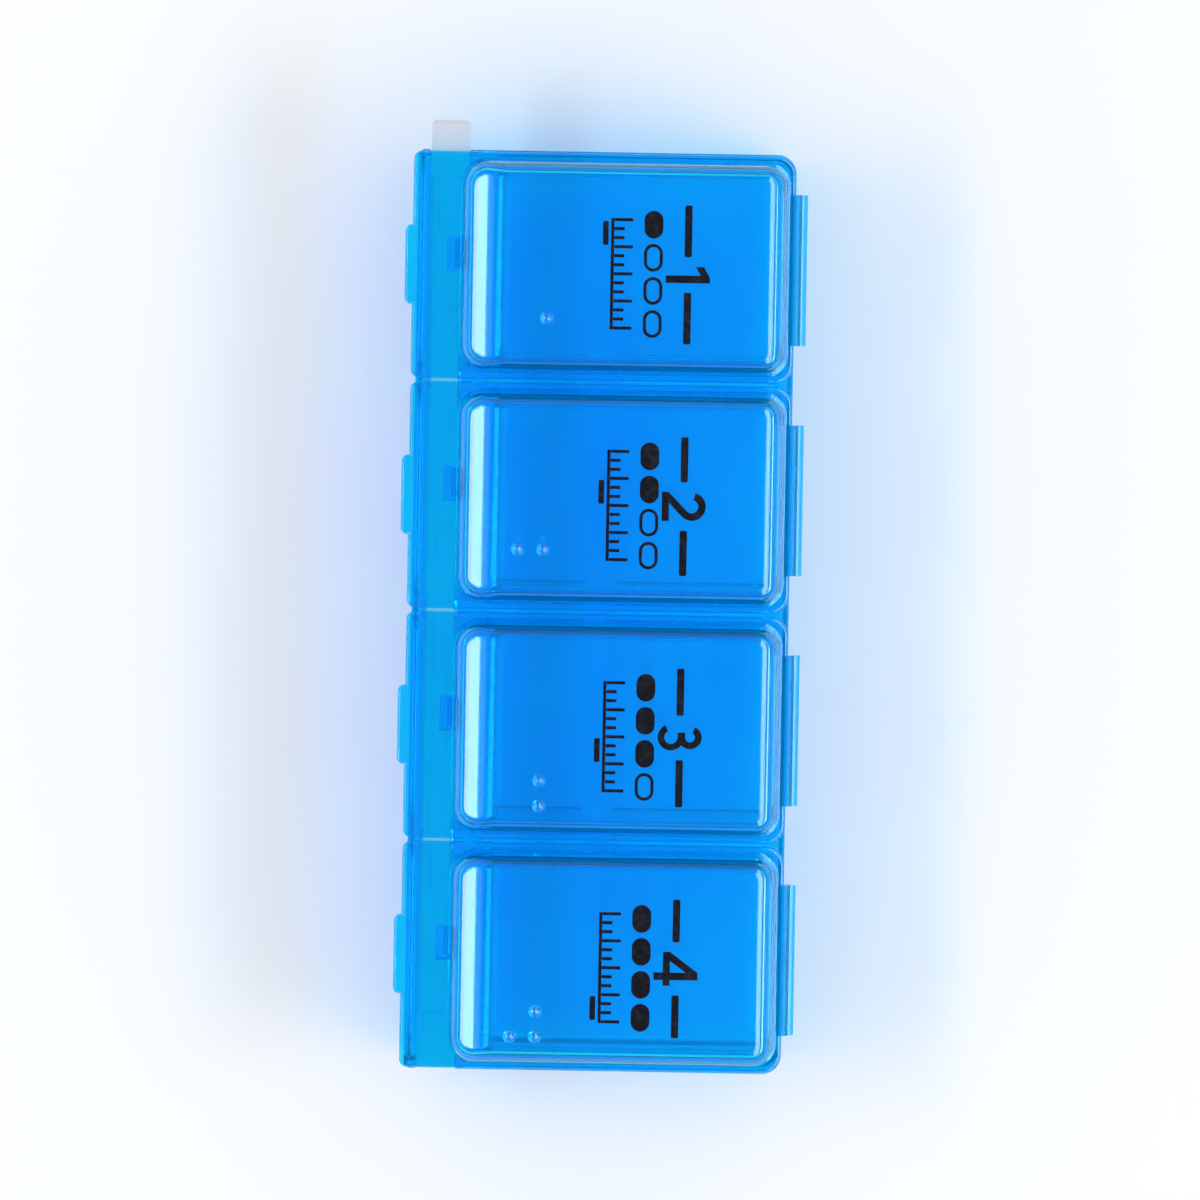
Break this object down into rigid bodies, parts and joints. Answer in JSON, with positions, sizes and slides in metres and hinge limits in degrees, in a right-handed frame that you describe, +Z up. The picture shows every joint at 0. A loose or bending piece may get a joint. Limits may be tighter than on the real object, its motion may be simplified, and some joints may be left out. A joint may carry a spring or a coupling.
{
  "type": "locking pill organizer",
  "caption": "Pocket pill organizer: a row of domed clear lids on living hinges over one tray, locked together by a sliding bar with push ends.",
  "frame": {"origin": "middle of the tray's flat underside, on the surface that the box stands on", "axes": "+X along the row from the first dose to the last, -Y the front with the lock bar, +Y the hinge side, +Z up"},
  "size_m": [0.0908, 0.0384, 0.0222],
  "materials": {
    "blue_clear": "clear azure blue moulded polypropylene, polished",
    "white_bar": "white moulded plastic, satin"
  },
  "bodies": {
    "tray": {"tray": "blue_clear"},
    "lock_bar": {"lock_bar": "white_bar"},
    "lid_1": {"lid_1": "blue_clear", "hinge_web_1": "blue_clear"},
    "lid_2": {"lid_2": "blue_clear", "hinge_web_2": "blue_clear"},
    "lid_3": {"lid_3": "blue_clear", "hinge_web_3": "blue_clear"},
    "lid_4": {"lid_4": "blue_clear", "hinge_web_4": "blue_clear"}
  },
  "joints": [
    {"name": "lid_1_hinge", "type": "hinge", "parent": "tray", "child": "lid_1", "pos_m": [-0.033, 0.01905, 0.01505], "axis": [-1, 0, 0], "range_deg": [0, 180], "deforming": ["hinge_web_1"]},
    {"name": "lid_2_hinge", "type": "hinge", "parent": "tray", "child": "lid_2", "pos_m": [-0.011, 0.01905, 0.01505], "axis": [-1, 0, 0], "range_deg": [0, 180], "deforming": ["hinge_web_2"]},
    {"name": "lid_3_hinge", "type": "hinge", "parent": "tray", "child": "lid_3", "pos_m": [0.011, 0.01905, 0.01505], "axis": [-1, 0, 0], "range_deg": [0, 180], "deforming": ["hinge_web_3"]},
    {"name": "lid_4_hinge", "type": "hinge", "parent": "tray", "child": "lid_4", "pos_m": [0.033, 0.01905, 0.01505], "axis": [-1, 0, 0], "range_deg": [0, 180], "deforming": ["hinge_web_4"]},
    {"name": "lock_slide", "type": "slide", "parent": "tray", "child": "lock_bar", "axis": [1, 0, 0], "range_m": [0, 0.0028]}
  ]
}
